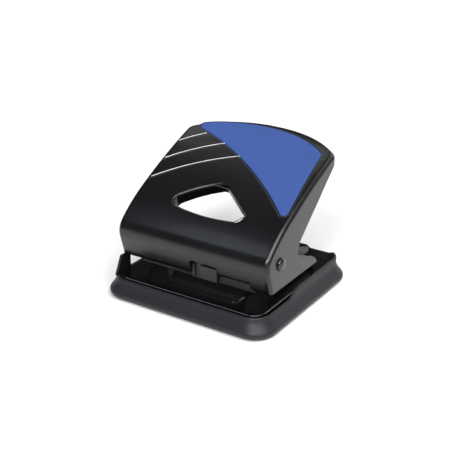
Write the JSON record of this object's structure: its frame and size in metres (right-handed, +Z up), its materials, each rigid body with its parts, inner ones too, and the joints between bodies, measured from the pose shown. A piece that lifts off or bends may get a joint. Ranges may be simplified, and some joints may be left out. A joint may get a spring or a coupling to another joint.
{
  "type": "hole punch",
  "caption": "Desk hole punch: pressed-metal lever handle with finger hole and inset grip, sprung punches, lock-down latch, sliding paper guide and hinged chip tray.",
  "frame": {"origin": "centre of the chip tray's underside, on the desk", "axes": "+X to the right along the width, +Y to the rear, +Z up; paper enters from -Y"},
  "size_m": [0.134, 0.124, 0.105],
  "materials": {
    "tray": "matte moulded",
    "feet": "matte",
    "plate": "gloss black",
    "handle": "gloss black",
    "grip": "soft-touch blue",
    "steel": "bright",
    "frame": "satin black",
    "latch": "satin",
    "guide": "satin"
  },
  "bodies": {
    "tray": {"base_tray": "tray", "rubber_feet": "feet", "hinge_pin": "steel"},
    "chassis": {"base_plate": "plate", "die_left": "steel", "die_right": "steel", "frame_left": "frame", "frame_right": "frame", "guide_block_left": "steel", "guide_block_right": "steel", "paper_stop": "frame", "frame_screws": "steel", "latch_track": "frame", "spring_left": "steel", "spring_right": "steel", "washer_left": "steel", "washer_right": "steel"},
    "handle": {"handle_shell": "handle", "grip_inlay": "grip", "pivot_rod": "steel", "pivot_cap_left": "frame", "pivot_cap_right": "frame", "press_yoke": "frame", "link_stud_left": "steel", "link_stud_right": "steel", "spacer_left": "steel", "spacer_right": "steel"},
    "punch_left": {"punch_pin_left": "steel", "punch_head_left": "steel"},
    "punch_right": {"punch_pin_right": "steel", "punch_head_right": "steel"},
    "latch": {"latch_slide": "latch"},
    "guide": {"guide_bar": "guide", "guide_stop": "guide"}
  },
  "joints": [
    {"name": "tray_hinge", "type": "hinge", "parent": "tray", "child": "chassis", "pos_m": [0, 0.0524, 0.0166], "axis": [-1, 0, 0], "range_deg": [0, 60]},
    {"name": "handle_press", "type": "hinge", "parent": "chassis", "child": "handle", "pos_m": [0, -0.0316, 0.0456], "axis": [-1, 0, 0], "range_deg": [0, 8], "stiffness_Nm_per_rad": 1.2, "springref_deg": -20.05},
    {"name": "punch_left_stroke", "type": "slide", "parent": "chassis", "child": "punch_left", "axis": [0, 0, -1], "range_m": [0, 0.0068], "deforming": ["spring_left"]},
    {"name": "punch_right_stroke", "type": "slide", "parent": "chassis", "child": "punch_right", "axis": [0, 0, -1], "range_m": [0, 0.0068], "deforming": ["spring_right"]},
    {"name": "latch_travel", "type": "slide", "parent": "chassis", "child": "latch", "axis": [1, 0, 0], "range_m": [0, 0.02]},
    {"name": "guide_travel", "type": "slide", "parent": "chassis", "child": "guide", "axis": [-1, 0, 0], "range_m": [0, 0.08]}
  ],
  "couplings": [
    {"joint": "punch_left_stroke", "follows": "handle_press", "m_per_rad": 0.048},
    {"joint": "punch_right_stroke", "follows": "handle_press", "m_per_rad": 0.048}
  ]
}
